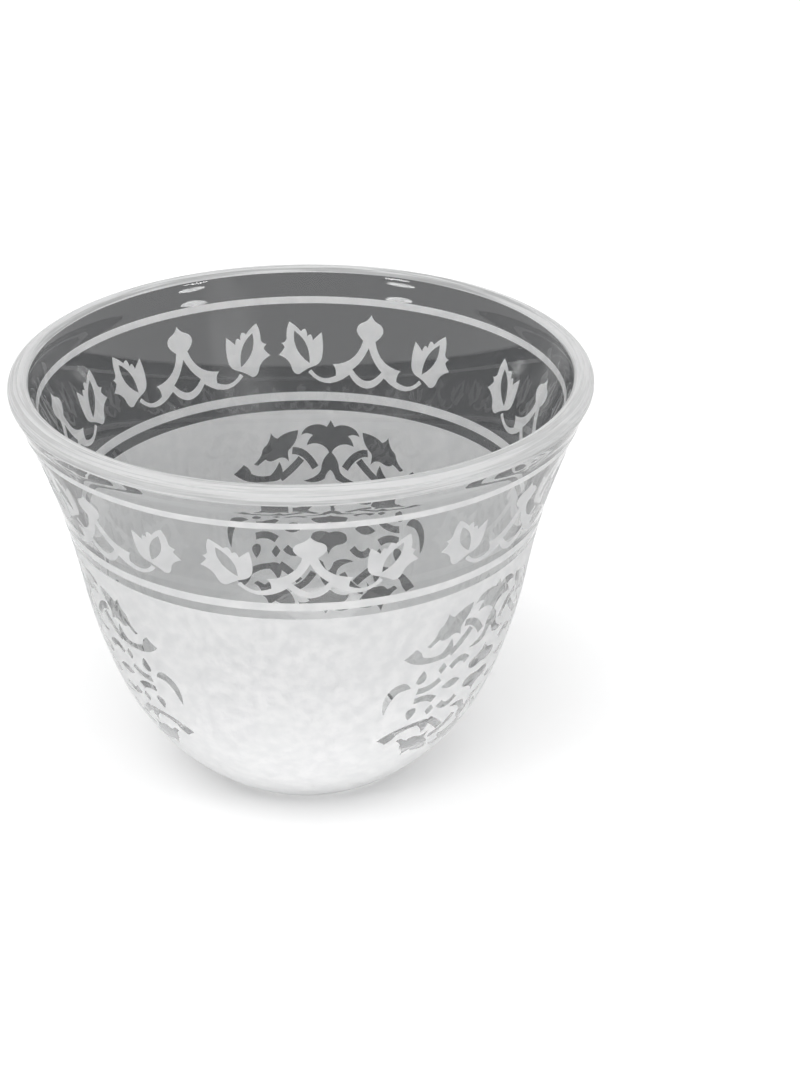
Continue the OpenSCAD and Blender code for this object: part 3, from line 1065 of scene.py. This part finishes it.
@dataclass
class Belly:
    """The frosted belly with three roundels of clear arabesque."""

    maker: SkinMaker
    border: Border
    clear_line_w: float = 1.2
    foot_margin: float = 0.4
    roundels: int = 3
    first_turn: float = 52.3
    width: float = 30.0
    height: float = 25.0
    drop: float = 1.3
    stem_w: float = 0.95
    steps: int = 6

    PALMETTE = (
        (0, 1), (0.02, 0.955), (0.035, 0.93), (0.08, 0.965), (0.15, 0.95),
        (0.235, 0.93), (0.258, 0.845), (0.205, 0.88), (0.155, 0.842),
        (0.195, 0.805), (0.207, 0.738), (0.14, 0.775), (0.074, 0.74),
        (0.02, 0.705), (0.012, 0.663), (0.075, 0.59), (0.078, 0.5),
        (0.085, 0.405), (0.235, 0.36), (0.125, 0.315), (0.048, 0.385),
        (0.03, 0.46), (0, 0.48),
    )
    FLOWER = (
        (0.285, 0.895), (0.4, 0.885), (0.465, 0.817), (0.505, 0.83), (0.525, 0.88),
        (0.53, 0.8), (0.565, 0.755), (0.6, 0.73), (0.603, 0.68),
        (0.62, 0.62), (0.675, 0.575), (0.655, 0.55), (0.635, 0.555),
        (0.6, 0.59), (0.57, 0.61), (0.53, 0.56), (0.46, 0.61),
        (0.4, 0.635), (0.362, 0.57), (0.38, 0.65), (0.368, 0.69),
        (0.29, 0.77), (0.285, 0.895),
    )
    OUTER_LEAF = (
        (0.86, 0.5), (0.815, 0.53), (0.77, 0.58), (0.715, 0.545), (0.7, 0.475),
        (0.62, 0.42), (0.53, 0.435), (0.48, 0.48), (0.45, 0.575),
        (0.405, 0.48), (0.425, 0.415), (0.45, 0.36), (0.53, 0.37),
        (0.65, 0.365), (0.73, 0.4), (0.8, 0.43), (0.86, 0.5),
    )
    SMALL_LEAF = (
        (0.655, 0.3), (0.6, 0.23), (0.62, 0.17), (0.65, 0.125), (0.69, 0.16),
        (0.72, 0.2), (0.655, 0.3),
    )
    DIAMOND = (
        (0.475, 0.315), (0.495, 0.29), (0.515, 0.25), (0.495, 0.21), (0.475, 0.185),
        (0.455, 0.21), (0.435, 0.25), (0.455, 0.29), (0.475, 0.315),
    )
    HEART = (
        (0, 0.3), (0.02, 0.21), (0.09, 0.19), (0.2, 0.16), (0.15, 0.07),
        (0.09, 0.02), (0, 0.06),
    )
    BEAD = ((0.235, 0), (0.32, 0.11), (0.43, 0), (0.32, -0.11), (0.235, 0))
    CURLED_LEAF = (
        (0.735, 0.125), (0.78, 0.235), (0.85, 0.21), (0.94, 0.175), (0.94, 0.03),
        (0.935, -0.07), (0.9, -0.14), (0.895, -0.03), (0.875, 0.04),
        (0.845, 0.12), (0.8, 0.12), (0.765, 0.125), (0.735, 0.125),
    )
    STEMS = (
        ((0.335, 0.685), (0.22, 0.69), (0.13, 0.5)),
        ((0.255, 0.6), (0.335, 0.483), (0.44, 0.395)),
        ((0.215, 0.215), (0.3, 0.345), (0.39, 0.215)),
        ((0.47, 0.12), (0.55, 0.035), (0.665, 0.06)),
    )

    @property
    def top_run(self) -> float:
        """Run of the upper edge of the frosted field."""
        return self.border.band_run - self.border.band_w / 2 - self.clear_line_w

    def _stem(self, path: Path) -> list[Point]:
        """Outline of a stem of even width along a curve.

        Args:
            path: its middle line.

        Returns:
            The outline.
        """
        line = [Vector(p) for p in curve_through(path, self.steps) + [path[2]]]
        last = len(line) - 1
        across = []
        for i in range(last + 1):
            d = line[min(i + 1, last)] - line[max(i - 1, 0)]
            across.append(Vector((-d.y, d.x)).normalized() * self.stem_w / 2)
        there = [tuple(p + a) for p, a in zip(line, across)]
        back = [tuple(p - a) for p, a in zip(line, across)]
        return there + back[::-1]

    def drawing(self) -> list[list[Point]]:
        """All clear outlines of a roundel, as drawn points.

        Returns:
            The outlines.
        """
        half_w, half_h = self.width / 2, self.height / 2
        forms = []
        for end in (1, -1):
            up = end * half_h
            for whole in (self.PALMETTE, self.HEART):
                forms.append(curve_through(scaled(mirrored(whole), half_w, up), self.steps))
            for side in (1, -1):
                across = side * half_w
                for shares in (self.FLOWER, self.OUTER_LEAF, self.SMALL_LEAF, self.DIAMOND):
                    forms.append(curve_through(scaled(shares, across, up), self.steps))
                for stem in self.STEMS:
                    forms.append(self._stem(scaled(stem, across, up)))
        for side in (1, -1):
            for shares in (self.BEAD, self.CURLED_LEAF):
                forms.append(curve_through(scaled(shares, side * half_w, half_h), self.steps))
        middle = self.top_run - self.drop - half_h
        return [[(x, y + middle) for x, y in form] for form in forms]

    def build(self) -> None:
        """Makes the frosted field with its roundels."""
        w = self.maker.wall
        low = -w.belly_run - w.heel_run + self.foot_margin
        drawing = self.drawing()
        first = math.radians(self.first_turn)
        turns = [first + i * FULL_TURN / self.roundels for i in range(self.roundels)]
        openings = {turn: drawing for turn in turns}
        self.maker.ring("frosted_belly", "frosted_field", low, self.top_run, openings)


def sky_way(turn: float, rise: float) -> Vector:
    """The way to a spot by degrees round the cup from the front, right positive, and upwards."""
    a, e = math.radians(turn), math.radians(rise)
    return Vector((math.sin(a) * math.cos(e), -math.cos(a) * math.cos(e), math.sin(e)))


def placed(name: str, data: bpy.types.ID) -> bpy.types.Object:
    """A new object of the scene with that data."""
    made = bpy.data.objects.new(name, data)
    bpy.context.scene.collection.objects.link(made)
    return made


def lit(name: str, kind: str, settings: dict[str, object]) -> bpy.types.Object:
    """A new lamp of a kind, with those settings."""
    light = bpy.data.lights.new(name, kind)
    for key, value in settings.items():
        setattr(light, key, value)
    return placed(name, light)


@dataclass
class Studio:
    """Pale floor, soft lamps, a white surround and the camera of the photograph.

    Sizes are in metres, apart from the camera's, turns are in degrees and powers in watts.
    """

    picture: tuple[int, int] = (800, 1092)
    focal_px: float = 2229.0
    sensor: float = 36.0
    nearest: float = 0.01
    aim_h: float = 25.0
    distance: float = 263.7
    elevation: float = 27.84
    yaw: float = 2.74
    tip: float = -0.39
    roll: float = 0.20
    floor_half: float = 3.0
    floor_sides: int = 96
    floor_roughness: float = 0.9
    room: float = 0.86
    floor_colour: float = 0.88
    floor_lift: float = 0.08
    daylight_turn: float = -20.0
    daylight_rise: float = 68.0
    daylight_spread: float = 44.0
    daylight_strength: float = 1.15
    softbox_turns: tuple[tuple[str, float], ...] = (("left", -46.0), ("right", 50.0))
    softbox_rise: float = 30.0
    softbox_far: float = 0.6
    softbox_w: float = 0.12
    softbox_power: float = 0.22
    card_ahead: float = 0.05
    card_w: float = 0.06
    card_power: float = 0.005
    bounces: tuple[tuple[str, int], ...] = (
        ("max", 32), ("diffuse", 16), ("glossy", 12), ("transmission", 24),
    )

    def _seen(self, sheet: ShaderSheet) -> Wire:
        """1 for what the camera sees, straight, in a reflection or through glass."""
        camera = sheet.add("ShaderNodeLightPath", {}, {}, "Is Camera Ray")
        glossy = sheet.add("ShaderNodeLightPath", {}, {}, "Is Glossy Ray")
        through = sheet.add("ShaderNodeLightPath", {}, {}, "Is Transmission Ray")
        return camera.at_least(glossy).at_least(through)

    def surround(self) -> None:
        """Lights the world evenly, and shows it white."""
        world = bpy.data.worlds.new("white_room")
        bpy.context.scene.world = world
        world.use_nodes = True
        sheet = ShaderSheet(world.node_tree, "ShaderNodeOutputWorld")
        level = self.room + self._seen(sheet) * (1 - self.room)
        sheet.finish(
            sheet.add("ShaderNodeBackground", {}, {"Color": grey(1.0), "Strength": level})
        )

    def floor(self) -> None:
        """Makes the pale floor."""
        bm = bmesh.new()
        bmesh.ops.create_circle(
            bm, cap_ends=True, segments=self.floor_sides, radius=self.floor_half
        )
        mesh = bpy.data.meshes.new("floor")
        bm.to_mesh(mesh)
        bm.free()
        material, sheet = ShaderSheet.for_material("pale_floor")
        lift = sheet.blend(self._seen(sheet), grey(0.0), grey(self.floor_lift))
        shade = sheet.add(
            "ShaderNodeBsdfPrincipled",
            {},
            {"Base Color": grey(self.floor_colour), "Roughness": self.floor_roughness,
             "Specular IOR Level": 0.0, "Emission Color": lift, "Emission Strength": 1.0},
        )
        sheet.finish(shade)
        mesh.materials.append(material)
        floor = placed("floor", mesh)

    def daylight(self) -> None:
        """Adds even soft light from one wide part of the sky."""
        settings = {"angle": math.radians(self.daylight_spread), "energy": self.daylight_strength}
        away = sky_way(self.daylight_turn, self.daylight_rise)
        sky = lit("daylight", "SUN", settings)
        sky.rotation_euler = (-away).to_track_quat("-Z", "Y").to_euler()

    def softbox(self, side: str, turn: float) -> None:
        """Hangs an oval softbox, half as high as wide, that looks at the cup.

        Args:
            side: its side of the cup, for its name.
            turn: degrees round the cup from the front, to the right positive.
        """
        settings = {"shape": "ELLIPSE", "size": self.softbox_w, "size_y": self.softbox_w / 2,
                    "energy": self.softbox_power}
        box = lit(f"small_softbox_{side}", "AREA", settings)
        aim = Vector((0, 0, self.aim_h * MM))
        box.location = aim + self.softbox_far * sky_way(turn, self.softbox_rise)
        box.rotation_euler = (aim - box.location).to_track_quat("-Z", "Y").to_euler()

    def card(self) -> None:
        """Lays a square light card before the cup, which lights it and is not seen."""
        settings = {"shape": "SQUARE", "size": self.card_w, "energy": self.card_power}
        card = lit("table_card", "AREA", settings)
        card.location = (0, -self.card_ahead, MM)
        card.rotation_euler = (math.pi, 0, 0)
        card.visible_camera = card.visible_glossy = card.visible_transmission = False

    def camera(self) -> None:
        """Sets up the camera as it stood for the photograph."""
        rise, yaw = math.radians(self.elevation), math.radians(self.yaw)
        pitch, roll = math.radians(self.elevation + self.tip), math.radians(self.roll)
        level = math.cos(pitch)
        ahead = Vector((math.sin(yaw) * level, math.cos(yaw) * level, -math.sin(pitch)))
        right = Vector((math.cos(yaw), -math.sin(yaw), 0))
        up = right.cross(ahead)
        right, up = (
            math.cos(roll) * right + math.sin(roll) * up,
            math.cos(roll) * up - math.sin(roll) * right,
        )
        back, high = self.distance * math.cos(rise), self.distance * math.sin(rise)
        place = Vector((0, -back, self.aim_h + high)) * MM
        data = bpy.data.cameras.new("camera")
        data.sensor_fit = "AUTO"
        data.sensor_width = self.sensor
        data.lens = self.focal_px * self.sensor / max(self.picture)
        data.clip_start = self.nearest
        camera = placed("camera", data)
        turn = Matrix((right, up, -ahead)).transposed().to_4x4()
        camera.matrix_world = Matrix.Translation(place) @ turn
        bpy.context.scene.camera = camera

    def build(self) -> None:
        """Sets up everything round the cup."""
        bpy.context.scene.view_settings.view_transform = "Standard"
        self.surround()
        self.floor()
        self.daylight()
        for side, turn in self.softbox_turns:
            self.softbox(side, turn)
        self.card()
        self.camera()
        for kind, most in self.bounces:
            setattr(bpy.context.scene.cycles, f"{kind}_bounces", most)


def main() -> None:
    """Builds the cup and its studio in order."""
    logging.basicConfig(level=logging.INFO, format="%(message)s", force=True)
    Studio().build()
    wall = CupWall()
    GlassBody(wall, ClearGlass()).build()
    maker = SkinMaker(wall, Frosting())
    border = Border(maker)
    border.build()
    Belly(maker, border).build()


if __name__ == "__main__":
    main()
